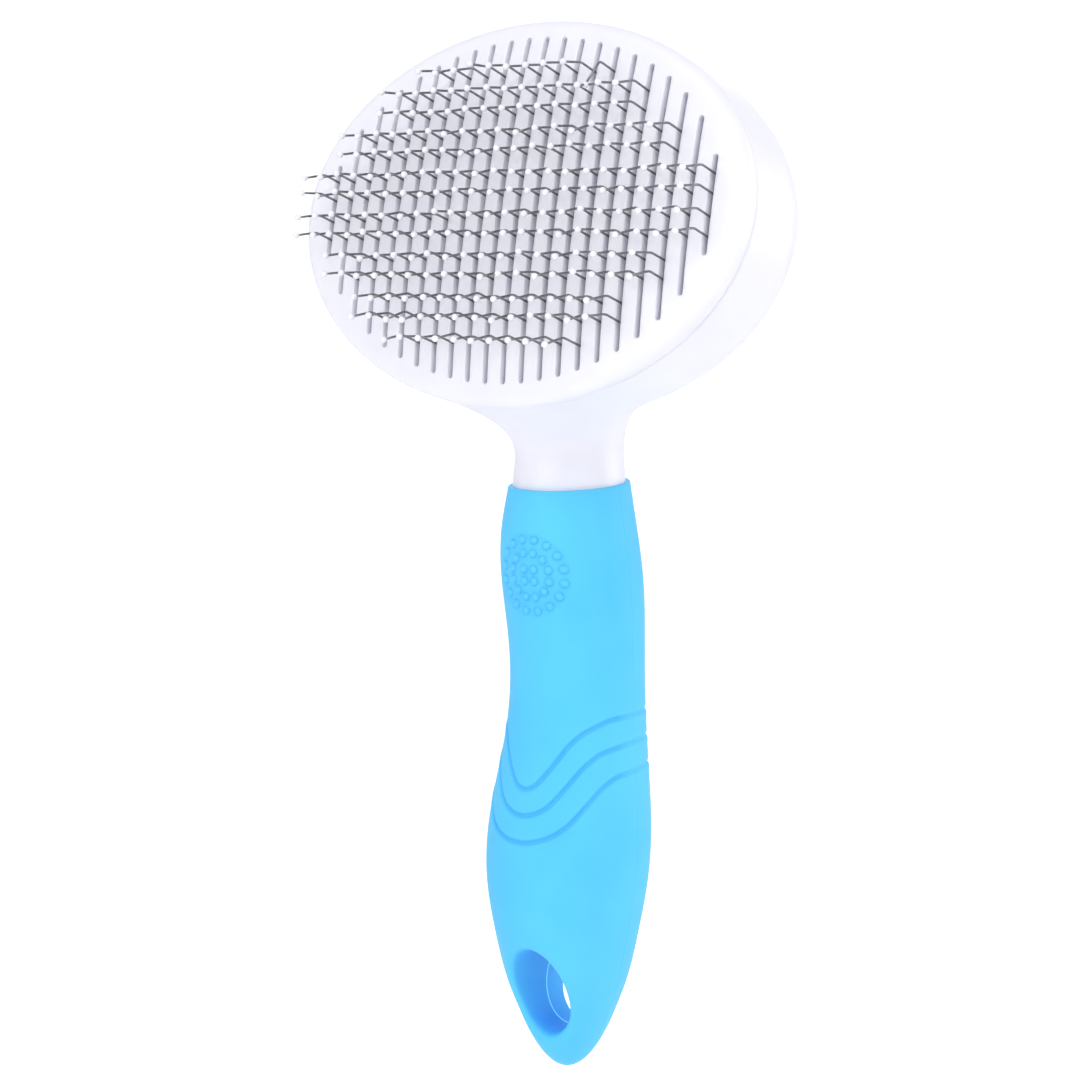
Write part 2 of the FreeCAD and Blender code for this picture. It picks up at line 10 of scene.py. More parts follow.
import bmesh
import bpy
import numpy as np
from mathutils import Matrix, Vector


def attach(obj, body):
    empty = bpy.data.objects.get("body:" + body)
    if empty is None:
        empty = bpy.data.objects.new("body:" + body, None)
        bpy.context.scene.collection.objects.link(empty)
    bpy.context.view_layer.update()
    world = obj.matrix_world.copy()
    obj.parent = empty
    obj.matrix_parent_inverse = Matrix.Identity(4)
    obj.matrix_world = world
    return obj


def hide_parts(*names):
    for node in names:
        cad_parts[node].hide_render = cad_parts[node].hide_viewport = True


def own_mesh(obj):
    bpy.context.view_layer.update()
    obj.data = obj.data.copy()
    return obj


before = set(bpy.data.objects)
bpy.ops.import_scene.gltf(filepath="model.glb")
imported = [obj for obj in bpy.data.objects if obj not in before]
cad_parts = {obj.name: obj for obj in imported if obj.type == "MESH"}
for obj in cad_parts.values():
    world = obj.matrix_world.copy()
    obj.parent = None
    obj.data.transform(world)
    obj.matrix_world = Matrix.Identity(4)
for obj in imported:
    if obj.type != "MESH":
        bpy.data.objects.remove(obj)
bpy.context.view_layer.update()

MM = 0.001
TILT = math.radians(13.0)
HEAD_AT = np.array([0.0, -21.3, 150.0])
HEAD_AXES = np.array(
    [
        [1.0, 0.0, 0.0],
        [0.0, math.sin(TILT), math.cos(TILT)],
        [0.0, -math.cos(TILT), math.sin(TILT)],
    ]
)

# Head: half axes of its oval and of the dome of its face, then heights along the face's normal.
OVAL = (49.4, 36.6)
DOME = (129.0, 68.0, 20.0)
SEAM = -4.9
SEAM_GAP = 0.3
REAR = -30.9
WALL = 2.2
BOWL_EDGE = 14.0
HOLLOW_EDGE = 11.8
HOLLOW_END = -24.8
# Collar round the button: inner and outer radius, and how far it stands out of the back.
COLLAR = (15.3, 17.6, 1.5)
COLLAR_EDGE = 0.7
COLLAR_BLEND = 1.6
NECK_BLEND = 9.0
NECK_TOP = 138.0
VOXEL = 0.62

# Plate: thickness, radius of its face's edge, and the skirt's corners as (offset from the oval, height).
PLATE_THICK = 2.0
PLATE_EDGE = 2.4
SKIRT = ((-2.7, -16.8), (-2.9, -17.0), (-4.1, -17.0), (-4.3, -16.8))
# Blades: place of the one at +X +Y, thickness, and (width, low end, high end) of the stem and barb.
BLADE_AT = (20.0, 10.0)
BLADE_THICK = 2.0
BLADE_SPANS = ((6.0, -25.4, -2.4), (7.2, -25.4, -24.6))

# Grip sections: height, width across X, depth along Y, centre in Y.
GRIP_SECTIONS = np.array(
    [
        (-8.0, 17.0, 17.9, -1.1),
        (0.0, 23.0, 24.4, -1.2),
        (10.0, 27.7, 29.6, -1.3),
        (20.0, 31.2, 32.4, -1.2),
        (30.0, 31.8, 32.5, -0.5),
        (40.0, 29.5, 31.0, 0.7),
        (50.0, 26.7, 29.2, 1.9),
        (60.0, 25.6, 28.2, 2.3),
        (70.0, 26.1, 28.7, 1.7),
        (80.0, 26.8, 29.1, 0.3),
        (90.0, 25.4, 27.5, -0.8),
        (98.5, 22.9, 24.8, -0.8),
    ]
)
GRIP_TOP = 98.5
TOP_EDGE = 0.5
# The top tilts: how far it drops, its slope along Y, the Y where it drops that far, and the height
# that the tilt starts from.
TOP_DROP = (0.68, 0.069, -0.8, 85.0)
GRIP_TIP = -17.5
TIP_JOIN = -8.0
SOCKET_FLOOR = 91.5
SOCKET_GAP = 0.02
# Height and width of the fine ridges along the grip's two sides.
PARTING = (0.07, 0.2)

# Neck and tang sections, in the same order.
NECK_SECTIONS = np.array(
    [
        (91.7, 21.6, 22.6, -0.8),
        (95.0, 21.6, 22.6, -0.8),
        (98.5, 21.5, 22.5, -0.8),
        (103.0, 20.9, 21.4, -0.7),
        (108.0, 22.0, 21.6, -0.9),
        (113.0, 26.4, 23.4, -1.9),
        (119.0, 34.5, 25.0, -3.0),
        (127.0, 41.0, 25.0, -3.6),
        (135.0, 43.0, 22.0, -2.6),
    ]
)

# The grooves' heights against the angle from the middle of the grip's front, in degrees.
FRONT_MIDDLE = -4.0
GROOVES = (
    ((0, 39.8), (6, 40.1), (10, 40.9), (14, 42.1), (24, 45.2))
    + ((34.5, 48.8), (46.5, 51.0), (67.5, 53.0), (102, 53.4)),
    ((0, 34.9), (5.5, 35.1), (12.5, 35.7), (20.5, 36.8), (33, 40.6))
    + ((45.5, 44.4), (59, 46.8), (80, 47.9), (102, 48.3)),
    ((0, 29.9), (6.5, 30.0), (12.5, 30.3), (24.5, 31.4), (36.5, 33.6))
    + ((46, 36.5), (59, 40.1), (71.5, 42.2), (103, 43.0)),
)
GROOVE_DEPTH = 0.42
GROOVE_WIDTH = 0.42
# Share of the depth that is lost towards the back, and the angles between which it goes.
GROOVE_FADE = (0.4, 72, 92)
# Degrees over which a groove's course is eased.
GROOVE_EASE = 3.5
# Height, distance and width of the low bank below each groove.
GROOVE_BANK = (0.10, 1.0, 0.55)

# Thumb pad: rings of raised dots as radius, count and angle of the first dot.
PAD_AT = (-0.35, 81.1)
PAD_RADIUS = 8.7
PAD_DEPTH = 0.32
PAD_EDGE = 1.5
DOT_RINGS = ((1.6, 4, 45.0), (4.35, 12, 15.0), (7.05, 16, 11.25))
DOT_RADIUS = 0.86
DOT_HEIGHT = 0.52
DOT_BLUNTNESS = 0.62

# Hang hole rims and throat as half width, half height, height of the middle and how much wider it
# is above; a rim then has its edge radius and how much larger that radius grows at the bottom.
HOLE_FRONT = (5.8, 9.05, -0.55, 0.02, 2.2, 0.35)
HOLE_THROAT = (5.75, 8.4, -1.1, -0.10)
HOLE_BACK = (6.4, 9.5, -1.0, 0.0, 1.2, 0.0)
HOLE_SIDES = 120
THROAT_HALF_GAP = 0.04
LIP_RADIUS = 0.13

# Slots: half axes of the oval that their ends lie on, how far they stand up of the middle, and how
# much wider a cutter is at each depth below the face, where None is above it.
SLOT_COUNT = 22
SLOT_PITCH = 4.0
SLOT_WIDTH = 1.05
SLOT_FIELD = (43.65, 32.6)
SLOT_RISE = 0.2
SLOT_START = 3.0
SLOT_LIP = ((0.22, None), (0.22, -0.02), (0.11, 0.03), (0.03, 0.11), (0.0, 0.22), (0.0, 8.0))

# Pins: radii of wire and bead, height of the crown, (y, height) of knee and tip from the pin's foot.
WIRE = 0.22
BEAD = 0.62
CROWN = -11.2
KNEE = (1.0, 3.0)
TIP = (-0.9, 8.9)
# Spread of the knee's y and height, the tip's y and height, and the lean to a side with its limit.
PIN_SCATTER = (0.13, 0.18, 0.30, 0.16, 0.08)
LEAN_LIMIT = 0.16
# Pairs of rows as first slot, last slot and place in pitches, then the two outer rows.
ROW_PITCH = 7.75
ROW_GAP = 3.6
ROW_SHIFT = -0.4
OUTER_ROW_Y = 25.3
PIN_PAIRS = ((5, 18, 2.5), (3, 20, 1.5), (1, 22, 0.5), (1, 22, -0.5), (3, 20, -1.5), (5, 18, -2.5))
OUTER_ROW = (7, 16)
# Slot and side of the one pin that is bent over, and how far its tip lies down in y and height.
STRAY_PIN = (16, 1)
STRAY_LEAN = (3.4, 2.2)

# Return spring: radius of its coils and of its wire, turns, and the heights of its two ends.
SPRING = (5.5, 0.4, 7.0, -31.0, -13.5)
CLOSED_SHARE = 0.1
# Button: radius, wall, heights of its open front, of its edge and of its end, radius of the edge.
BUTTON = (15.0, 1.8, -24.5, -37.2, -39.6, 2.0)
# Its end: height of the middle over the end, how far it falls away and with which power, and the
# depth and reach of the dish in its middle. Then the slope where the rounded edge begins.
BUTTON_FACE = (0.40, 1.6, 2.4, 0.9, 6.5)
BUTTON_SLANT = math.radians(16)

CAMERA_AT = (264.74, -402.26, 137.03)
CAMERA_AIM = (-5.04, -3.41, 86.6)
CAMERA_LENS = 83.32
FLOOR_HEIGHT = -0.16
LIGHTS_AIM = (0.0, -0.01, 0.09)
# Painted shade in the grip's recesses: how open a spot is, by ambient occlusion, from wholly its painted
# deep-blue shade to wholly its own colour.
CREVICE_SHADE = (0.42, 0.90)
# Degrees in a radian, for reliefs.
DEGREES = 57.3


def on_head(points):
    """Points of the head frame in the row frame."""
    return np.asarray(points, float) @ HEAD_AXES + HEAD_AT


def off_head(points):
    """Points of the row frame in the head frame."""
    return (np.asarray(points, float) - HEAD_AT) @ HEAD_AXES.T


def spline(xs, ys):
    """A natural cubic spline through the points, as a function."""
    xs = np.asarray(xs, float)
    ys = np.asarray(ys, float)
    step = np.diff(xs)
    count = len(xs)
    system = np.eye(count)
    right = np.zeros(count)
    for i in range(1, count - 1):
        system[i, i - 1 : i + 2] = (step[i - 1], 2 * (step[i - 1] + step[i]), step[i])
        right[i] = 6 * ((ys[i + 1] - ys[i]) / step[i] - (ys[i] - ys[i - 1]) / step[i - 1])
    bend = np.linalg.solve(system, right)

    def at(x):
        x = np.clip(x, xs[0], xs[-1])
        i = np.clip(np.searchsorted(xs, x, side="right") - 1, 0, count - 2)
        left = x - xs[i]
        rest = xs[i + 1] - x
        return (
            (bend[i] * rest**3 + bend[i + 1] * left**3) / (6 * step[i])
            + (ys[i] / step[i] - bend[i] * step[i] / 6) * rest
            + (ys[i + 1] / step[i] - bend[i + 1] * step[i] / 6) * left
        )

    return at


def smoothstep(edge0, edge1, x):
    """From 0 at the first edge to 1 at the second, without corners."""
    t = np.clip((x - edge0) / (edge1 - edge0), 0, 1)
    return t * t * (3 - 2 * t)


def full_turn(sides):
    """Angles of evenly spaced points round a full turn."""
    return np.linspace(0, 2 * math.pi, sides, endpoint=False)


def new_object(name, points, faces):
    """A mesh object from points in millimetres."""
    mesh = bpy.data.meshes.new(name)
    mesh.from_pydata((np.asarray(points) * MM).tolist(), [], faces)
    mesh.update()
    made = bpy.data.objects.new(name, mesh)
    bpy.context.scene.collection.objects.link(made)
    return made


def ring_faces(rings, sides, start=0):
    """Quads between successive rings of equally many points."""
    here = np.arange(sides)
    following = np.roll(here, -1)
    faces = []
    for r in range(rings - 1):
        a = start + r * sides
        b = a + sides
        faces.append(np.stack([a + here, a + following, b + following, b + here], axis=1))
    return np.concatenate(faces).tolist()


def ring_solid(rings, start=0, poles=None):
    """Points and faces of a closed solid: rings joined in order, with a fan over each end."""
    rings = np.asarray(rings, float)
    count, sides, _ = rings.shape
    ends = poles if poles is not None else (rings[0].mean(axis=0), rings[-1].mean(axis=0))
    points = np.concatenate([rings.reshape(-1, 3), np.asarray(ends, float)])
    faces = ring_faces(count, sides, start)
    first_pole = start + count * sides
    last_ring = start + (count - 1) * sides
    for i in range(sides):
        j = (i + 1) % sides
        faces.append([first_pole, start + j, start + i])
        faces.append([first_pole + 1, last_ring + i, last_ring + j])
    return points, faces


def gather(solids):
    """One set of points and faces from several functions that each take a start number."""
    points = []
    faces = []
    start = 0
    for make in solids:
        p, f = make(start)
        points.append(p)
        faces.extend(f)
        start += len(p)
    return np.concatenate(points), faces


def face_outwards(made):
    """Turn all faces of a closed mesh outwards."""
    work = bmesh.new()
    work.from_mesh(made.data)
    bmesh.ops.recalc_face_normals(work, faces=work.faces)
    work.to_mesh(made.data)
    work.free()
    return made


def settle(made):
    """Apply the modifiers."""
    deps = bpy.context.evaluated_depsgraph_get()
    mesh = bpy.data.meshes.new_from_object(made.evaluated_get(deps))
    old = made.data
    made.modifiers.clear()
    made.data = mesh
    mesh.name = made.name
    bpy.data.meshes.remove(old)
    return made


def combine(target, tool, operation="DIFFERENCE"):
    """Cut the tool out of the target, or join it on."""
    face_outwards(tool)
    work = target.modifiers.new("combine", "BOOLEAN")
    work.operation = operation
    work.solver = "EXACT"
    work.object = tool
    settle(target)
    bpy.data.objects.remove(tool)
    return target


def shade(made, sharp_degrees):
    """Smooth shading, apart from edges sharper than the angle."""
    made.data.shade_smooth()
    made.data.set_sharp_from_angle(angle=math.radians(sharp_degrees))
    return made


def finish_piece(made, body, slot, material, *nodes):
    """Give a piece its look, its body and the nodes that it stands for; the slot argument is not used."""
    made.data.materials.clear()
    made.data.materials.append(material)
    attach(made, body)
    if nodes:
        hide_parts(*nodes)
    return made


# ---------------------------------------------------------------- materials


class Look:
    """A node material with a few shorthands."""

    def __init__(self, name, roughness, specular=0.5):
        self.material = bpy.data.materials.new(name)
        self.material.use_nodes = True
        self.tree = self.material.node_tree
        self.shader = self.tree.nodes["Principled BSDF"]
        self.shader.inputs["Roughness"].default_value = roughness
        self.shader.inputs["Specular IOR Level"].default_value = specular
        self.place = self.add("ShaderNodeTexCoord").outputs["Object"]

    def add(self, kind, **settings):
        node = self.tree.nodes.new(kind)
        for name, value in settings.items():
            setattr(node, name, value)
        return node

    def link(self, source, target):
        self.tree.links.new(source, target)

    def noise(self, scale, detail=2.0, rough=0.5, stretch=(1.0, 1.0, 1.0)):
        """Noise with scale waves to the metre."""
        mapping = self.add("ShaderNodeMapping")
        mapping.inputs["Scale"].default_value = stretch
        self.link(self.place, mapping.inputs["Vector"])
        texture = self.add("ShaderNodeTexNoise")
        texture.inputs["Scale"].default_value = scale
        texture.inputs["Detail"].default_value = detail
        texture.inputs["Roughness"].default_value = rough
        self.link(mapping.outputs["Vector"], texture.inputs["Vector"])
        return texture.outputs["Fac"]

    def spread(self, source, low, high, start=0.3, end=0.7):
        """A number between low and high as the source goes from start to end."""
        node = self.add("ShaderNodeMapRange")
        node.inputs["From Min"].default_value = start
        node.inputs["From Max"].default_value = end
        node.inputs["To Min"].default_value = low
        node.inputs["To Max"].default_value = high
        self.link(source, node.inputs["Value"])
        return node.outputs["Result"]

    def colour(self, source, low, high):
        """Base colour that goes from low to high with the source."""
        node = self.add("ShaderNodeMix", data_type="RGBA")
        node.inputs[6].default_value = (*low, 1.0)
        node.inputs[7].default_value = (*high, 1.0)
        self.link(source, node.inputs[0])
        self.link(node.outputs[2], self.shader.inputs["Base Color"])

    def crevice_shade(self, reach, deep):
        """Painted shade: deepen the base colour where the surface around it closes in within reach
        metres.
        """
        open_part = self.add("ShaderNodeAmbientOcclusion", samples=6, only_local=True)
        open_part.inputs["Distance"].default_value = reach
        node = self.add("ShaderNodeMix", data_type="RGBA")
        node.inputs[6].default_value = (*deep, 1.0)
        base = self.shader.inputs["Base Color"]
        self.link(base.links[0].from_socket, node.inputs[7])
        self.link(self.spread(open_part.outputs["AO"], 0.0, 1.0, *CREVICE_SHADE), node.inputs[0])
        self.link(node.outputs[2], base)

    def rough(self, source):
        """Roughness from a source."""
        self.link(source, self.shader.inputs["Roughness"])

    def bump(self, sources, distance):
        """Relief from several (output, strength) pairs, one after the other."""
        before = None
        for source, strength in sources:
            node = self.add("ShaderNodeBump")
            node.inputs["Strength"].default_value = strength
            node.inputs["Distance"].default_value = distance
            self.link(source, node.inputs["Height"])
            if before is not None:
                self.link(before, node.inputs["Normal"])
            before = node.outputs["Normal"]
        self.link(before, self.shader.inputs["Normal"])


def moulded_plastic(name, low, high, roughness, grain):
    """Plastic with a fine grain and slight differences in colour and gloss."""
    look = Look(name, roughness)
    look.colour(look.spread(look.noise(90.0, 3.0), 0.0, 1.0), low, high)
    look.rough(look.spread(look.noise(260.0, 3.0), roughness - 0.05, roughness + 0.06))
    look.bump([(look.noise(3500.0, 2.0), grain), (look.noise(180.0, 1.0), grain * 0.6)], 0.00004)
    return look


def soft_white():
    """The white plastic, which lets a little light through."""
    look = moulded_plastic("white_plastic", (0.88, 0.876, 0.965), (0.905, 0.90, 0.985), 0.33, 0.10)
    look.shader.inputs["Subsurface Weight"].default_value = 0.6
    look.shader.inputs["Subsurface Radius"].default_value = (1.0, 0.97, 1.0)
    look.shader.inputs["Subsurface Scale"].default_value = 0.002
    return look


def grip_rubber():
    """Fine matt rubber, with a deeper blue painted into its recesses as shade."""
    look = Look("blue_rubber", 0.46, 0.14)
    patches = look.spread(look.noise(55.0, 3.0), 0.0, 1.0)
    look.colour(patches, (0.100, 0.590, 0.965), (0.120, 0.640, 0.99))
    # Painted shade: a deep blue where ambient occlusion finds recesses, such as the hang hole and the
    # grooves.
    look.crevice_shade(0.009, (0.001, 0.17, 0.90))
    look.rough(look.spread(look.noise(240.0, 3.0), 0.42, 0.52))
    look.bump([(look.noise(5200.0, 3.0), 0.22), (look.noise(420.0, 2.0), 0.10)], 0.00005)
    look.shader.inputs["Sheen Weight"].default_value = 0.03
    look.shader.inputs["Sheen Roughness"].default_value = 0.45
    look.shader.inputs["Sheen Tint"].default_value = (0.75, 0.95, 1.0, 1.0)
    return look


def lip_painted_glow():
    """A thin edge of rubber painted with light: a paler blue and a faint glow stand in for the light it
    shows.
    """
    look = Look("lip_painted_glow", 0.40, 0.30)
    # Painted light: a paler blue than the grip's rubber.
    look.colour(look.spread(look.noise(300.0, 2.0), 0.0, 1.0), (0.26, 0.90, 0.98), (0.32, 0.95, 1.0))
    look.rough(look.spread(look.noise(900.0, 2.0), 0.36, 0.46))
    # Painted light: a faint glow, though the lip is no lamp.
    look.shader.inputs["Emission Color"].default_value = (0.40, 0.92, 1.0, 1.0)
    look.shader.inputs["Emission Strength"].default_value = 0.28
    return look


def drawn_steel(name, low, high):
    """Bright steel with fine marks along it."""
    look = Look(name, 0.32)
    look.colour(look.spread(look.noise(900.0, 3.0), 0.0, 1.0), low, high)
    look.rough(look.spread(look.noise(2600.0, 2.0, stretch=(1.0, 1.0, 0.15)), 0.26, 0.42))
    look.bump([(look.noise(6000.0, 2.0, stretch=(1.0, 1.0, 0.1)), 0.12)], 0.00002)
    look.shader.inputs["Metallic"].default_value = 1.0
    return look


def bead_resin():
    """White resin with a slight gloss coat."""
    look = Look("tip_resin", 0.22)
    look.colour(look.spread(look.noise(700.0, 2.0), 0.0, 1.0), (0.86, 0.87, 0.90), (0.93, 0.94, 0.96))
    look.rough(look.spread(look.noise(1800.0, 2.0), 0.16, 0.30))
    look.bump([(look.noise(1500.0, 2.0), 0.10)], 0.00003)
    look.shader.inputs["Coat Weight"].default_value = 0.3
    return look


def make_materials():
    """Every finish, by the name of its slot."""
    plastics = {
        "inner_abs": ("inner_plastic", (0.74, 0.72, 0.78), (0.80, 0.78, 0.83), 0.48, 0.15),
        "blue_abs": ("blue_plastic", (0.085, 0.49, 0.90), (0.105, 0.54, 0.95), 0.30, 0.10),
        "pad_rubber": ("pad_rubber", (0.70, 0.66, 0.74), (0.78, 0.74, 0.82), 0.62, 0.30),
    }
    steels = {
        "wire_steel": ((0.20, 0.205, 0.215), (0.32, 0.325, 0.34)),
        "spring_steel": ((0.35, 0.35, 0.37), (0.48, 0.48, 0.50)),
        "screw_steel": ((0.45, 0.45, 0.46), (0.58, 0.58, 0.59)),
    }
    made = {"white_abs": soft_white()}
    made.update({slot: moulded_plastic(*values) for slot, values in plastics.items()})
    made["blue_rubber"] = grip_rubber()
    made["lip_painted_glow"] = lip_painted_glow()
    made.update({slot: drawn_steel(slot, *tones) for slot, tones in steels.items()})
    made["tip_resin"] = bead_resin()
    return {slot: look.material for slot, look in made.items()}


# ---------------------------------------------------------------- grip


class Sections:
    """Half width, half depth and centre of a body of elliptical sections, at any height."""

    def __init__(self, table):
        heights = table[:, 0]
        self.wide = spline(heights, table[:, 1] / 2)
        self.deep = spline(heights, table[:, 2] / 2)
        self.centre = spline(heights, table[:, 3])


NECK = Sections(NECK_SECTIONS)


class GripShape(Sections):
    """The grip's sections, which end below in a blunt parabola."""

    def __call__(self, z):
        z = np.asarray(z, float)
        share = np.sqrt(np.clip((z - GRIP_TIP) / (TIP_JOIN - GRIP_TIP), 0, 1))
        wide = self.wide(z) * share
        deep = self.deep(z) * share
        return wide, deep, self.centre(z)


def grip_heights():
    """Ring heights, close together where there is fine relief."""
    tip = GRIP_TIP + (TIP_JOIN - GRIP_TIP) * np.linspace(0.03, 1, 40, endpoint=False) ** 2
    spans = [
        np.arange(TIP_JOIN, 28.0, 0.36),
        np.arange(28.0, 55.5, 0.17),
        np.arange(55.5, 71.5, 0.45),
        np.arange(71.5, 90.5, 0.135),
        np.arange(90.5, GRIP_TOP - 0.5, 0.35),
    ]
    return np.concatenate([tip] + spans)


def grip_angles():
    """Ring angles from the front in degrees, close together at the pad and the parting lines."""
    half = np.concatenate(
        [
            np.arange(0, 42, 0.6),
            np.arange(42, 86, 1.1),
            np.arange(86, 94, 0.5),
            np.arange(94, 180, 1.5),
        ]
    )
    return np.concatenate([half, [180.0], -half[:0:-1]])


def groove_relief(angle, z, wide):
    """Depth of the three wavy grooves at each point, along the surface normal."""
    turned = np.abs((angle - FRONT_MIDDLE + 180) % 360 - 180)
    relief = np.zeros_like(z)
    table = np.arange(0, 181.0)
    margin = 12
    kernel = np.exp(-0.5 * (np.arange(-margin, margin + 1) / GROOVE_EASE) ** 2)
    lost, fade_start, fade_end = GROOVE_FADE
    bank, bank_at, bank_width = GROOVE_BANK
    depth = GROOVE_DEPTH * (1 - lost * smoothstep(fade_start, fade_end, turned))
    for groove in GROOVES:
        around, height = np.array(groove, float).T
        plain = np.interp(np.abs(np.arange(-margin, 181 + margin)), around, height)
        eased = np.convolve(plain, kernel / kernel.sum(), mode="valid")
        here = np.interp(turned, table, eased)
        slope = np.interp(turned, table, np.gradient(eased)) * DEGREES / wide
        off = (z - here) / np.sqrt(1 + slope**2)
        relief -= depth * np.exp(-np.abs(off / GROOVE_WIDTH) ** 2.4)
        relief += bank * np.exp(-(((off + bank_at) / bank_width) ** 2))
    return relief


def pad_relief(x, y, z):
    """The shallow thumb pad with its rings of dots, on the front only."""
    off_x = x - PAD_AT[0]
    off_z = z - PAD_AT[1]
    from_middle = np.hypot(off_x, off_z)
    relief = -PAD_DEPTH * (1 - smoothstep(PAD_RADIUS - PAD_EDGE, PAD_RADIUS, from_middle))
    for radius, count, first in DOT_RINGS:
        for i in range(count):
            angle = math.radians(first + 360 * i / count)
            off = np.hypot(off_x - radius * math.cos(angle), off_z - radius * math.sin(angle))
            relief += DOT_HEIGHT * np.clip(1 - (off / DOT_RADIUS) ** 2, 0, 1) ** DOT_BLUNTNESS
    return np.where(y < 0, relief, 0)


def parting_relief(angle, z, deep):
    """The fine ridge along each side, which fades out before the tip."""
    height, width = PARTING
    from_side = np.abs(np.abs(angle) - 90) / DEGREES * deep
    return height * np.exp(-((from_side / width) ** 2)) * smoothstep(GRIP_TIP + 1, GRIP_TIP + 6, z)


def grip_skin(shape, heights, angles):
    """Rings of the grip's outside with all its relief."""
    wide, deep, centre = (value[:, None] for value in shape(heights))
    angle = angles[None, :]
    around = np.radians(angle)
    x = wide * np.sin(around)
    y = centre - deep * np.cos(around)
    z = np.repeat(heights[:, None], len(angles), axis=1)
    points = np.stack([x, y, z], axis=2)
    along_ring = np.roll(points, -1, axis=1) - np.roll(points, 1, axis=1)
    up = np.gradient(points, axis=0)
    outward = np.cross(along_ring, up)
    outward /= np.linalg.norm(outward, axis=2, keepdims=True)
    relief = groove_relief(angle, z, wide) + pad_relief(x, y, z)
    relief += parting_relief(angle, z, deep)
    return list(points + outward * relief[:, :, None])


def grip_edge(shape, top):
    """Rings of the rounded edge above the skin's top ring."""
    middle = np.array([0.0, shape.centre(GRIP_TOP), 0.0])
    unit = (top - middle) * (1, 1, 0)
    unit /= np.linalg.norm(unit, axis=1, keepdims=True)
    rings = []
    for turn in np.radians([25, 45, 65, 90]):
        ring = top - unit * TOP_EDGE * (1 - math.cos(turn))
        ring[:, 2] = GRIP_TOP - TOP_EDGE + TOP_EDGE * math.sin(turn)
        rings.append(ring)
    return rings


def grip_socket(angles):
    """Rings of the socket that the neck stands in, from the top to its floor."""
    around = np.radians(angles)
    rings = []
    for height in (GRIP_TOP, GRIP_TOP - 1, SOCKET_FLOOR + 3, SOCKET_FLOOR):
        x = (NECK.wide(height) + SOCKET_GAP) * np.sin(around)
        y = NECK.centre(height) - (NECK.deep(height) + SOCKET_GAP) * np.cos(around)
        rings.append(np.stack([x, y, np.full_like(x, height)], axis=1))
    return rings


def make_grip(material):
    """The soft grip, with its socket, tilted top and hang hole."""
    shape = GripShape(GRIP_SECTIONS)
    angles = grip_angles()
    rings = grip_skin(shape, grip_heights(), angles)
    rings += grip_edge(shape, rings[-1]) + grip_socket(angles)
    points, faces = ring_solid(rings, poles=((0, -1.0, GRIP_TIP), (0, -0.8, SOCKET_FLOOR)))
    drop, slope, middle_y, start = TOP_DROP
    eased = smoothstep(start, GRIP_TOP, points[:, 2])
    points[:, 2] += (slope * (points[:, 1] - middle_y) - drop) * eased
    made = face_outwards(new_object("soft_grip", points, faces))
    combine(made, hole_tool(shape))
    shade(made, 40)
    return finish_piece(made, "handle", "blue_rubber", material, "grip")


def egg(half_width, half_height, middle, skew, grow, turns):
    """An upright egg outline in X and Z, grown outwards by a distance."""
    x = (half_width + grow) * np.cos(turns) * (1 + skew * np.sin(turns))
    z = middle + (half_height + grow) * np.sin(turns)
    return x, z


def hole_tool(shape):
    """The hang hole: rounded rims that follow the grip, and a throat between them."""
    turns = full_turn(HOLE_SIDES)

    def skin(x, z, side):
        wide, deep, centre = shape(z)
        inside = np.clip(1 - (x / wide) ** 2, 0.02, 1)
        return centre + side * deep * np.sqrt(inside)

    def mouth(rim, side):
        *outline, radius, growth = rim
        radius = radius * (1 + growth * np.clip(-np.sin(turns), 0, 1))
        rings = []
        x, z = egg(*outline, radius, turns)
        for out in (6.0, 0.02):
            rings.append(np.stack([x, skin(x, z, side) + side * out, z], axis=1))
        for turn in np.radians([15, 30, 45, 60, 75, 90]):
            x, z = egg(*outline, radius * (1 - math.sin(turn)), turns)
            depth = radius * (1 - math.cos(turn))
            rings.append(np.stack([x, skin(x, z, side) - side * depth, z], axis=1))
        x, z = egg(*HOLE_THROAT, 0, turns)
        throat = np.stack([x, np.full_like(turns, side * THROAT_HALF_GAP), z], axis=1)
        edge = rings[-1]
        for share in (0.2, 0.4, 0.6, 0.8, 1.0):
            rings.append(edge + (throat - edge) * share)
        return rings

    points, faces = ring_solid(mouth(HOLE_FRONT, -1) + mouth(HOLE_BACK, 1)[::-1])
    return new_object("hole_tool", points, faces)


def make_hole_lip(material):
    """The fine raised line round the hang hole's throat, where the two mould halves meet."""
    turns = full_turn(HOLE_SIDES)
    rings = []
    for angle in full_turn(10):
        x, z = egg(*HOLE_THROAT, LIP_RADIUS * math.cos(angle), turns)
        rings.append(np.stack([x, np.full_like(turns, LIP_RADIUS * math.sin(angle)), z], axis=1))
    faces = []
    for ring in range(len(rings)):
        here, there = ring * HOLE_SIDES, (ring + 1) % len(rings) * HOLE_SIDES
        for i in range(HOLE_SIDES):
            j = (i + 1) % HOLE_SIDES
            faces.append((here + i, here + j, there + j, there + i))
    made = face_outwards(new_object("hole_lip", np.concatenate(rings), faces))
    made.data.shade_smooth()
    return finish_piece(made, "handle", "blue_rubber", material)


# ---------------------------------------------------------------- housing and neck


def ellipse_distance(x, y, a, b):
    """Close to the distance from an ellipse near it, negative inside."""
    first = np.hypot(x / a, y / b)
    second = np.maximum(np.hypot(x / a**2, y / b**2), 1e-6)
    return first * (first - 1) / second


def rounded_corner(across, along, radius):
    """Distance from a convex corner of two walls that is rounded off."""
    a = across + radius
    b = along + radius
    return np.minimum(np.maximum(a, b), 0) + np.hypot(np.maximum(a, 0), np.maximum(b, 0)) - radius


def soft_union(a, b, width):
    """The nearer of two distances, with a fillet of about the given width between them."""
    near = np.clip(width - np.abs(a - b), 0, None) / width
    return np.minimum(a, b) - near**2 * width / 4


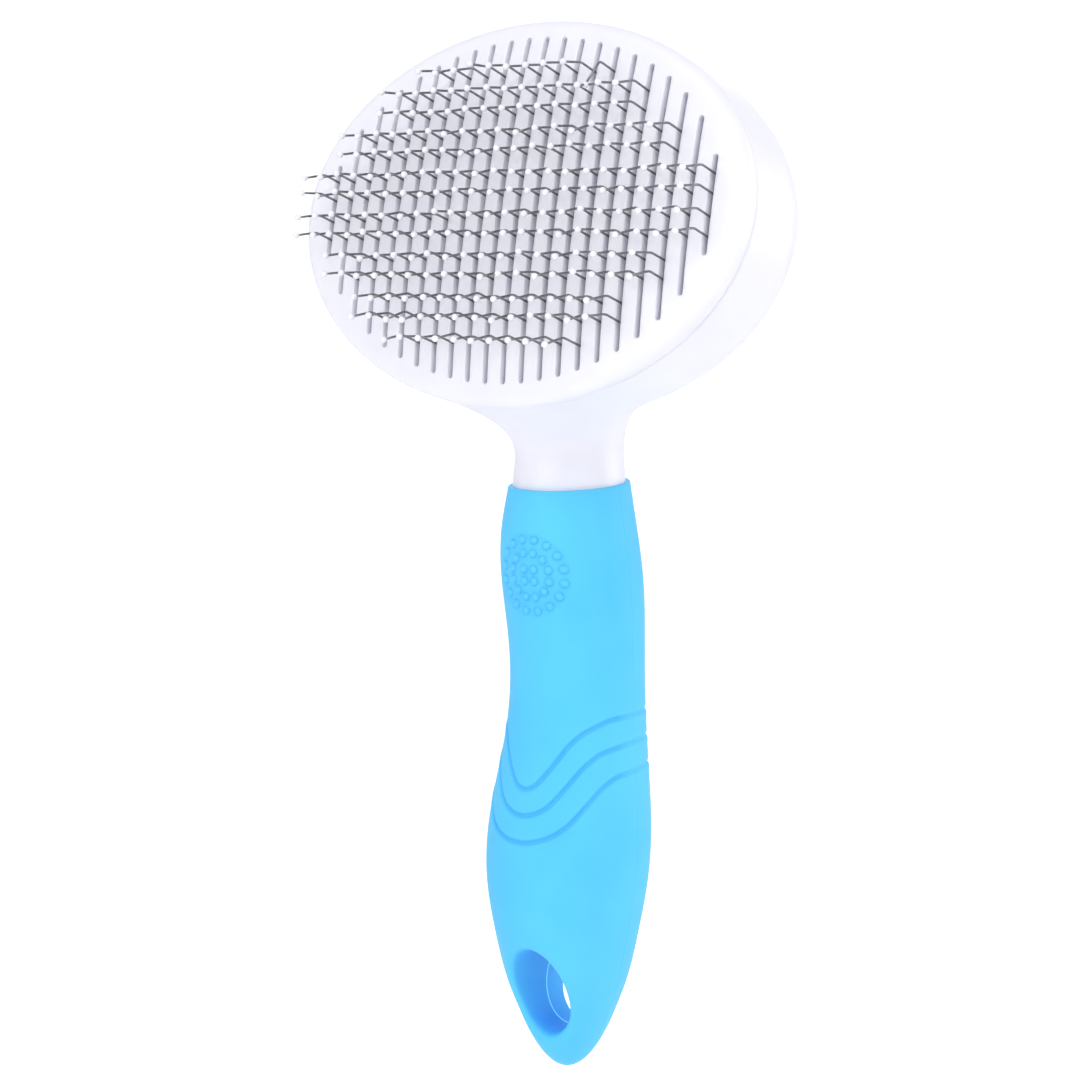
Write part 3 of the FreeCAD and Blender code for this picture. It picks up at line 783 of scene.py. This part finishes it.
def shell_field(points):
    """Signed distance, nearly, from the outside of the housing with its collar and neck."""
    x, y, z = off_head(points).T
    wall = ellipse_distance(x, y, *OVAL)
    bowl = rounded_corner(wall, REAR - z, BOWL_EDGE)
    ring = rounded_corner(np.hypot(x, y) - COLLAR[1], REAR - COLLAR[2] - z, COLLAR_EDGE)
    field = soft_union(bowl, ring, COLLAR_BLEND)
    height = points[:, 2]
    neck = ellipse_distance(
        points[:, 0], points[:, 1] - NECK.centre(height), NECK.wide(height), NECK.deep(height)
    )
    neck = np.maximum(neck, height - NECK_TOP)
    return soft_union(field, neck, NECK_BLEND)


def oval_ring(offset, z, turns):
    """A curve at an even distance outside the head's oval (inside if negative), at one height."""
    a, b = OVAL
    x = a * np.cos(turns)
    y = b * np.sin(turns)
    normal = np.stack([np.cos(turns) / a, np.sin(turns) / b], axis=1)
    normal /= np.linalg.norm(normal, axis=1, keepdims=True)
    heights = np.broadcast_to(np.asarray(z, float), turns.shape)
    return np.stack([x + normal[:, 0] * offset, y + normal[:, 1] * offset, heights], axis=1)


def circle_ring(radius, z, turns):
    """A circle about the head's axis at one height."""
    return np.stack([radius * np.cos(turns), radius * np.sin(turns), np.full_like(turns, z)], axis=1)


def make_housing(material):
    """The housing and its neck: rough solids fused, drawn onto the smooth shell and hollowed."""
    turns = full_turn(180)
    prism = [oval_ring(offset, z, turns) for offset, z in ((0, 4), (0, -17), (-4, -27), (-12, REAR))]
    collar = [circle_ring(COLLAR[1], z, turns) for z in (REAR - COLLAR[2], REAR + 5)]
    neck = []
    for height in np.linspace(NECK_SECTIONS[0, 0], NECK_SECTIONS[-1, 0], 30):
        x = NECK.wide(height) * np.cos(turns)
        y = NECK.centre(height) + NECK.deep(height) * np.sin(turns)
        neck.append(np.stack([x, y, np.full_like(turns, height)], axis=1))
    points, faces = gather(
        [
            lambda start: ring_solid(on_head(prism), start),
            lambda start: ring_solid(on_head(collar), start),
            lambda start: ring_solid(neck, start),
        ]
    )
    made = face_outwards(new_object("housing", points, faces))
    remesh = made.modifiers.new("remesh", "REMESH")
    remesh.mode = "VOXEL"
    remesh.voxel_size = VOXEL * MM
    settle(made)
    project(made)
    combine(made, housing_hollow())
    combine(made, button_hole())
    shade(made, 40)
    return finish_piece(made, "handle", "white_abs", material, "handle_core")


def onto_surface(points, fixed):
    """One move of the points that aren't fixed towards the shell's surface."""
    step = 0.05
    longest = 1.2
    value = shell_field(points)
    slope = np.stack(
        [(shell_field(points + offset) - value) / step for offset in np.eye(3) * step], axis=1
    )
    size = np.maximum((slope**2).sum(axis=1), 0.05)
    move = -(value / size)[:, None] * slope
    length = np.linalg.norm(move, axis=1, keepdims=True)
    move *= np.minimum(1, longest / np.maximum(length, 1e-9))
    return points + np.where(fixed[:, None], 0, move)


def project(made):
    """Move the vertices onto the shell's surface, with a little evening out between moves.

    The two ends stay as they are: the one in front is cut off later, and the neck's is in the grip.
    """
    mesh = made.data
    count = len(mesh.vertices)
    places = np.zeros(count * 3)
    mesh.vertices.foreach_get("co", places)
    places = places.reshape(-1, 3) / MM
    edges = np.zeros(len(mesh.edges) * 2, int)
    mesh.edges.foreach_get("vertices", edges)
    edges = edges.reshape(-1, 2)
    linked = np.bincount(edges.ravel(), minlength=count)[:, None]
    fixed = (off_head(places)[:, 2] > 2.0) | (places[:, 2] < 92.6)
    for _ in range(8):
        places = onto_surface(places, fixed)
    for _ in range(10):
        total = np.zeros_like(places)
        np.add.at(total, edges[:, 0], places[edges[:, 1]])
        np.add.at(total, edges[:, 1], places[edges[:, 0]])
        evened = places + (total / linked - places) * 0.5
        places = np.where(fixed[:, None], places, evened)
        places = onto_surface(places, fixed)
    places = onto_surface(places, fixed)
    mesh.vertices.foreach_set("co", (places * MM).ravel())
    mesh.update()


def housing_hollow():
    """Everything in front of the seam and the space inside the bowl."""
    turns = full_turn(256)
    front = SEAM - SEAM_GAP
    ahead = 14
    edge = 0.55
    profile = [(7, ahead), (7, front - edge), (0.6, front - edge)]
    for turn in np.radians([0, 22, 45, 68, 90]):
        profile.append((edge * (math.cos(turn) - 1) + 0.01, front - edge + edge * math.sin(turn)))
    profile += [(-WALL + 0.35, front), (-WALL + 0.1, front - 0.1), (-WALL, front - 0.4)]
    for turn in np.radians([0, 15, 30, 45, 60, 75, 90]):
        inwards = HOLLOW_EDGE * (1 - math.cos(turn))
        profile.append((-WALL - inwards, REAR + WALL + HOLLOW_EDGE * (1 - math.sin(turn))))
    rings = [oval_ring(offset, z, turns) for offset, z in profile]
    rings += [circle_ring(COLLAR[1], z, turns) for z in (REAR + WALL, HOLLOW_END)]
    points, faces = ring_solid(on_head(rings), poles=on_head([(0, 0, ahead), (0, 0, HOLLOW_END)]))
    return new_object("housing_hollow", points, faces)


def button_hole():
    """The bore through the back for the button, with a rounded mouth."""
    turns = full_turn(160)
    radius, _, proud = COLLAR
    rear = REAR - proud
    lip = 0.6
    rings = [circle_ring(radius + lip, z, turns) for z in (rear - 6, rear - 0.02)]
    for turn in np.radians([20, 45, 70, 90]):
        wider = lip * (1 - math.sin(turn))
        rings.append(circle_ring(radius + wider, rear + lip * (1 - math.cos(turn)), turns))
    rings.append(circle_ring(radius, -20, turns))
    points, faces = ring_solid(on_head(rings))
    return new_object("button_hole", points, faces)


# ---------------------------------------------------------------- cleaning plate


def dome(x, y):
    """Height of the plate's domed face."""
    half_x, half_y, depth = DOME
    return depth * (np.sqrt(np.clip(1 - (x / half_x) ** 2 - (y / half_y) ** 2, 0, 1)) - 1)


def make_plate(material):
    """The domed plate with its rim, skirt, slots and blades."""
    turns = full_turn(360)

    def on_dome(ring, below):
        ring[:, 2] = dome(ring[:, 0], ring[:, 1]) - below
        return ring

    rim = oval_ring(0, 0, turns)
    soft = np.minimum(PLATE_EDGE, dome(rim[:, 0], rim[:, 1]) - SEAM - 0.35)
    inner = oval_ring(-PLATE_EDGE, 0, turns)
    rings = [on_dome(inner * (share, share, 1), 0) for share in np.linspace(0.015, 1, 46, endpoint=False)]
    for turn in np.radians([0, 12, 24, 36, 48, 60, 70, 80, 90]):
        ring = oval_ring(-PLATE_EDGE * (1 - math.sin(turn)), 0, turns)
        rings.append(on_dome(ring, soft * (1 - math.cos(turn))))
    edge = 0.25
    below_rim = ((0, SEAM + edge), (-0.07, SEAM + 0.07), (-edge, SEAM), (SKIRT[0][0], SEAM))
    rings += [oval_ring(offset, z, turns) for offset, z in below_rim + SKIRT]
    under = oval_ring(SKIRT[-1][0], 0, turns)
    for share in (1.0, 0.97, 0.9, 0.8, 0.65, 0.5, 0.35, 0.2, 0.05):
        rings.append(on_dome(under * (share, share, 1), PLATE_THICK))
    points, faces = ring_solid(on_head(rings), poles=on_head([(0, 0, 0), (0, 0, -PLATE_THICK)]))
    made = face_outwards(new_object("cleaning_plate", points, faces))
    combine(made, slot_tools())
    combine(made, plate_blades(), "UNION")
    shade(made, 35)
    return finish_piece(made, "cleaner", "white_abs", material, "face_plate")


def slot_x(number):
    """Where slot number 1 to 22 stands across the head."""
    return (number - (SLOT_COUNT + 1) / 2) * SLOT_PITCH


def slot_tools():
    """Narrow round-ended cutters whose flared lips follow the dome."""
    solids = []
    for number in range(1, SLOT_COUNT + 1):
        middle = slot_x(number)
        share = math.sqrt(1 - (middle / SLOT_FIELD[0]) ** 2)
        reach = SLOT_FIELD[1] * share - SLOT_WIDTH / 2 + SLOT_RISE
        solids.append(lambda start, middle=middle, reach=reach: slot_tool(middle, reach, start))
    points, faces = gather(solids)
    return new_object("slots", points, faces)


def slot_tool(middle, reach, start):
    """One cutter, from above the face down through the plate."""
    sides = np.linspace(-reach, reach, 26)
    ends = np.linspace(0, math.pi, 9)[1:-1]
    rings = []
    for grow, drop in SLOT_LIP:
        half = SLOT_WIDTH / 2 + grow
        flank = np.full_like(sides, half)
        across, along = half * np.cos(ends), reach + half * np.sin(ends)
        x = np.concatenate([flank, across, -flank, -across]) + middle
        y = np.concatenate([sides, along, sides[::-1], -along]) + SLOT_RISE
        z = dome(x, y) - drop if drop is not None else np.full_like(x, SLOT_START)
        rings.append(np.stack([x, y, z], axis=1))
    return ring_solid(on_head(rings), start)


def plate_blades():
    """The four barbed blades that tie the plate to the pusher."""
    work = bmesh.new()
    for side_x in (-1, 1):
        for side_y in (-1, 1):
            for width, low, high in BLADE_SPANS:
                for corner in bmesh.ops.create_cube(work, size=1.0)["verts"]:
                    x, y, z = corner.co
                    x = side_x * BLADE_AT[0] + x * BLADE_THICK
                    y = side_y * BLADE_AT[1] + y * width
                    corner.co = Vector((x, y, (low + high) / 2 + z * (high - low)))
    points = np.array([vertex.co[:] for vertex in work.verts])
    faces = [[vertex.index for vertex in face.verts] for face in work.faces]
    work.free()
    return new_object("blades", on_head(points), faces)


# ---------------------------------------------------------------- button and spring


def make_button(material):
    """A cup whose closed end is crowned, with a soft dish in its middle."""
    radius, wall, front, edge, end, soft = BUTTON
    rise, fall, power, dish, dish_reach = BUTTON_FACE
    turns = full_turn(160)
    crown = radius - soft
    profile = []
    for across in np.linspace(0.4, crown, 30):
        crowning = fall * (across / crown) ** power
        profile.append((across, end - rise + crowning + dish * math.exp(-((across / dish_reach) ** 2))))
    brow = profile[-1][1]
    slant = BUTTON_SLANT
    for turn in np.linspace(slant, math.pi / 2, 12)[1:]:
        across = crown + soft * (math.sin(turn) - math.sin(slant)) / (1 - math.sin(slant))
        profile.append((across, brow + soft * (math.cos(slant) - math.cos(turn))))
    profile += [(radius, front - 0.25), (radius - 0.25, front)]
    inner = radius - wall
    floor = end + wall + 0.9
    profile += [(inner + 0.2, front), (inner, front - 0.2), (inner, edge + wall + 1)]
    profile += [(inner - 1.5, edge + wall), (inner * 0.5, floor), (0.4, floor)]
    rings = on_head([circle_ring(r, z, turns) for r, z in profile])
    made = face_outwards(new_object("button_cap", *ring_solid(rings)))
    shade(made, 50)
    return finish_piece(made, "cleaner", "blue_abs", material, "push_button")


def transported_tube(path, radius, sides, start=0):
    """A round tube along a path of points, with its section carried along without twist."""
    path = np.asarray(path, float)
    ahead = np.gradient(path, axis=0)
    ahead /= np.linalg.norm(ahead, axis=1, keepdims=True)
    seed = np.array([0.0, 0.0, 1.0]) if abs(ahead[0][2]) < 0.9 else np.array([1.0, 0.0, 0.0])
    across = np.cross(ahead[0], seed)
    turns = full_turn(sides)[:, None]
    rings = []
    for place, direction in zip(path, ahead):
        across = across - direction * np.dot(across, direction)
        across /= np.linalg.norm(across)
        other = np.cross(direction, across)
        rings.append(place + radius * (np.cos(turns) * across + np.sin(turns) * other))
    return ring_solid(rings, start)


def make_spring(material):
    """The return spring round the hub: closed end coils and an open middle."""
    radius, wire, turns, rear, front = SPRING
    share = np.linspace(0, 1, 420)
    opened = np.clip((share - CLOSED_SHARE) / (1 - 2 * CLOSED_SHARE), 0, 1)
    lift = smoothstep(0, 1, opened) * 0.25 + opened * 0.75
    low = rear + wire + 0.05
    high = front - wire - 0.05
    closed = 0.9 * wire
    z = low + closed * np.clip(share / CLOSED_SHARE, 0, 1) + (high - low - 2 * closed) * lift
    z += closed * np.clip((share - (1 - CLOSED_SHARE)) / CLOSED_SHARE, 0, 1)
    angle = share * turns * 2 * math.pi
    path = np.stack([radius * np.cos(angle), radius * np.sin(angle), z], axis=1)
    made = face_outwards(new_object("return_coil", *transported_tube(on_head(path), wire, 12)))
    made.data.shade_smooth()
    finish_piece(made, "handle", "spring_steel", material, "return_spring")
    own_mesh(made)
    return made


# ---------------------------------------------------------------- pins


def bend(before, corner, after, reach, steps):
    """Points of a smooth bend that leaves the corner out by the given reach."""
    first = corner + (before - corner) / np.linalg.norm(before - corner) * reach
    last = corner + (after - corner) / np.linalg.norm(after - corner) * reach
    t = np.linspace(0, 1, steps)[:, None]
    return first * (1 - t) ** 2 + 2 * corner * t * (1 - t) + last * t**2


def pin_corners(x, y, wobble, stray=False):
    """Base, knee and tip of one pin, each a little off its nominal place."""
    knee_y, knee_z, tip_y, tip_z, lean = (wobble.normal(0, spread) for spread in PIN_SCATTER)
    knee_y += KNEE[0]
    knee_z += KNEE[1]
    tip_y += TIP[0]
    tip_z += TIP[1]
    lean = np.clip(lean, -LEAN_LIMIT, LEAN_LIMIT)
    if stray:
        tip_y -= STRAY_LEAN[0]
        tip_z -= STRAY_LEAN[1]
    return np.array(
        [
            (x, y, CROWN),
            (x + 0.4 * lean, y + knee_y, knee_z),
            (x + lean, y + tip_y, tip_z),
        ]
    )


def staple_path(first, second):
    """The wire's centre line from one tip through the crown to the other."""
    corners = np.concatenate([first[::-1], second])
    path = [corners[:1]]
    for i, (reach, steps) in enumerate(((0.8, 7), (0.6, 6), (0.6, 6), (0.8, 7)), start=1):
        path.append(bend(corners[i - 1], corners[i], corners[i + 1], reach, steps))
    path.append(corners[-1:])
    return np.concatenate(path)


def bead(centre, direction, start):
    """A slightly drawn-out drop of resin on the end of a wire."""
    direction = direction / np.linalg.norm(direction)
    across = np.cross(direction, (1.0, 0.0, 0.0))
    across /= np.linalg.norm(across)
    other = np.cross(direction, across)
    turns = full_turn(14)[:, None]
    around = np.cos(turns) * across + np.sin(turns) * other
    ahead = direction * BEAD * 1.06
    rings = []
    for angle in np.radians(np.linspace(14, 162, 10)):
        radius = BEAD * math.sin(angle) * (1 + 0.10 * math.cos(angle))
        rings.append(centre + ahead * math.cos(angle) + around * radius)
    return ring_solid(rings, start, (centre + ahead, centre - direction * BEAD * 1.10))


def make_pins(wire_material, bead_material):
    """All the staples and the beads on their ends."""
    wobble = np.random.default_rng(7)
    staples = []
    for first, last, pair in PIN_PAIRS:
        y = pair * ROW_PITCH + ROW_SHIFT
        for number in range(first, last + 1):
            x = slot_x(number)
            staples.append([pin_corners(x, y + side * ROW_GAP / 2, wobble) for side in (-1, 1)])
    for side in (1, -1):
        y = side * OUTER_ROW_Y + ROW_SHIFT
        for number in range(OUTER_ROW[0], OUTER_ROW[1] + 1, 2):
            pins = []
            for slot in (number, number + 1):
                pins.append(pin_corners(slot_x(slot), y, wobble, stray=(slot, side) == STRAY_PIN))
            staples.append(pins)
    wires = []
    beads = []
    for pair in staples:
        path = on_head(staple_path(*pair))
        wires.append(lambda start, path=path: transported_tube(path, WIRE, 10, start))
        for pin in pair:
            knee, tip = on_head(pin)[1:]
            beads.append(lambda start, tip=tip, way=tip - knee: bead(tip, way, start))
    pins = face_outwards(new_object("pin_wires", *gather(wires)))
    pins.data.shade_smooth()
    tips = face_outwards(new_object("pin_beads", *gather(beads)))
    tips.data.shade_smooth()
    finish_piece(pins, "handle", "wire_steel", wire_material, *[f"pins_{i}" for i in range(1, 9)])
    finish_piece(tips, "handle", "tip_resin", bead_material, *[f"pin_tips_{i}" for i in range(1, 9)])


# ---------------------------------------------------------------- stage, lights and camera


def make_camera():
    """The camera of the main picture."""
    camera = bpy.data.objects.new("camera", bpy.data.cameras.new("camera"))
    bpy.context.scene.collection.objects.link(camera)
    camera.location = Vector(CAMERA_AT) * MM
    aim = Vector(CAMERA_AIM) * MM
    camera.rotation_euler = (aim - camera.location).to_track_quat("-Z", "Y").to_euler()
    camera.data.lens = CAMERA_LENS
    camera.data.sensor_width = 36.0
    camera.data.clip_start = 0.01
    bpy.context.scene.camera = camera


def soft_light(name, place, size, power):
    """A round white area light, aimed at the brush."""
    lamp = bpy.data.lights.new(name, "AREA")
    lamp.shape = "DISK"
    lamp.size = size
    lamp.energy = power
    made = bpy.data.objects.new(name, lamp)
    bpy.context.scene.collection.objects.link(made)
    made.location = place
    made.rotation_euler = (Vector(LIGHTS_AIM) - made.location).to_track_quat("-Z", "Y").to_euler()


def make_floor():
    """A pale floor that sweeps up into a backdrop behind the brush.

    The camera sees it whiter than the light it gives, so that it doesn't burn out the white plastic.
    """
    flat, sweep = 2.0, 1.2
    profile = [(-3.0, 0.0), (flat, 0.0)]
    for turn in np.radians(np.linspace(6, 90, 15)):
        profile.append((flat + sweep * math.sin(turn), sweep * (1 - math.cos(turn))))
    profile.append((flat + sweep, 4.0))
    points = []
    for y, z in profile:
        points += [(-5.0, y, z), (5.0, y, z)]
    faces = [[2 * i, 2 * i + 1, 2 * i + 3, 2 * i + 2] for i in range(len(profile) - 1)]
    floor = new_object("floor", np.array(points) / MM, faces)
    floor.location.z = FLOOR_HEIGHT
    floor.data.shade_smooth()
    look = Look("pale_floor", 0.9, 0.1)
    look.colour(look.spread(look.noise(3.0), 0.0, 1.0), (0.90, 0.90, 0.905), (0.92, 0.92, 0.925))
    look.shader.inputs["Emission Color"].default_value = (1.0, 1.0, 1.0, 1.0)
    seen_by_camera = look.add("ShaderNodeLightPath").outputs["Is Camera Ray"]
    glow = look.spread(seen_by_camera, 0.22, 0.7, 0.0, 1.0)
    look.link(glow, look.shader.inputs["Emission Strength"])
    floor.data.materials.append(look.material)


def make_world():
    """Soft light from all round, which the camera sees as plain white."""
    world = bpy.data.worlds.new("studio")
    bpy.context.scene.world = world
    world.use_nodes = True
    tree = world.node_tree
    light = tree.nodes["Background"]
    light.inputs["Color"].default_value = (0.91, 0.92, 1.0, 1.0)
    light.inputs["Strength"].default_value = 0.54
    seen = tree.nodes.new("ShaderNodeBackground")
    seen.inputs["Color"].default_value = (1.0, 1.0, 1.0, 1.0)
    seen.inputs["Strength"].default_value = 1.0
    rays = tree.nodes.new("ShaderNodeLightPath")
    mix = tree.nodes.new("ShaderNodeMixShader")
    tree.links.new(rays.outputs["Is Camera Ray"], mix.inputs["Fac"])
    tree.links.new(light.outputs["Background"], mix.inputs[1])
    tree.links.new(seen.outputs["Background"], mix.inputs[2])
    tree.links.new(mix.outputs["Shader"], tree.nodes["World Output"].inputs["Surface"])


def make_lights():
    """The studio's soft lights."""
    soft_light("key", (0.40, -0.48, 0.86), 0.50, 2.75)
    soft_light("right", (0.62, -0.22, 0.30), 0.55, 0.70)
    soft_light("front_left", (-0.30, -0.80, 0.40), 0.55, 2.1)
    soft_light("rim_right", (0.48, 0.50, 0.22), 0.50, 1.0)
    soft_light("behind", (-0.40, 0.55, 0.30), 0.60, 0.6)
    bpy.context.scene.view_settings.view_transform = "Standard"
    bpy.context.scene.view_settings.look = "None"


def paint_node(name, material):
    """Give a carried-over CAD node its finish."""
    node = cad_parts[name]
    node.data.materials.clear()
    node.data.materials.append(material)
    node.data.shade_smooth()
    node.data.set_sharp_from_angle(angle=math.radians(30))


def main():
    """Build every piece, the stage and the lights."""
    make_camera()
    materials = make_materials()
    make_grip(materials["blue_rubber"])
    make_hole_lip(materials["lip_painted_glow"])
    make_housing(materials["white_abs"])
    make_plate(materials["white_abs"])
    make_button(materials["blue_abs"])
    make_spring(materials["spring_steel"])
    make_pins(materials["wire_steel"], materials["tip_resin"])
    paint_node("pin_base", materials["inner_abs"])
    paint_node("pusher", materials["inner_abs"])
    paint_node("pin_pad", materials["pad_rubber"])
    paint_node("base_screws", materials["screw_steel"])
    make_floor()
    make_world()
    make_lights()


main()
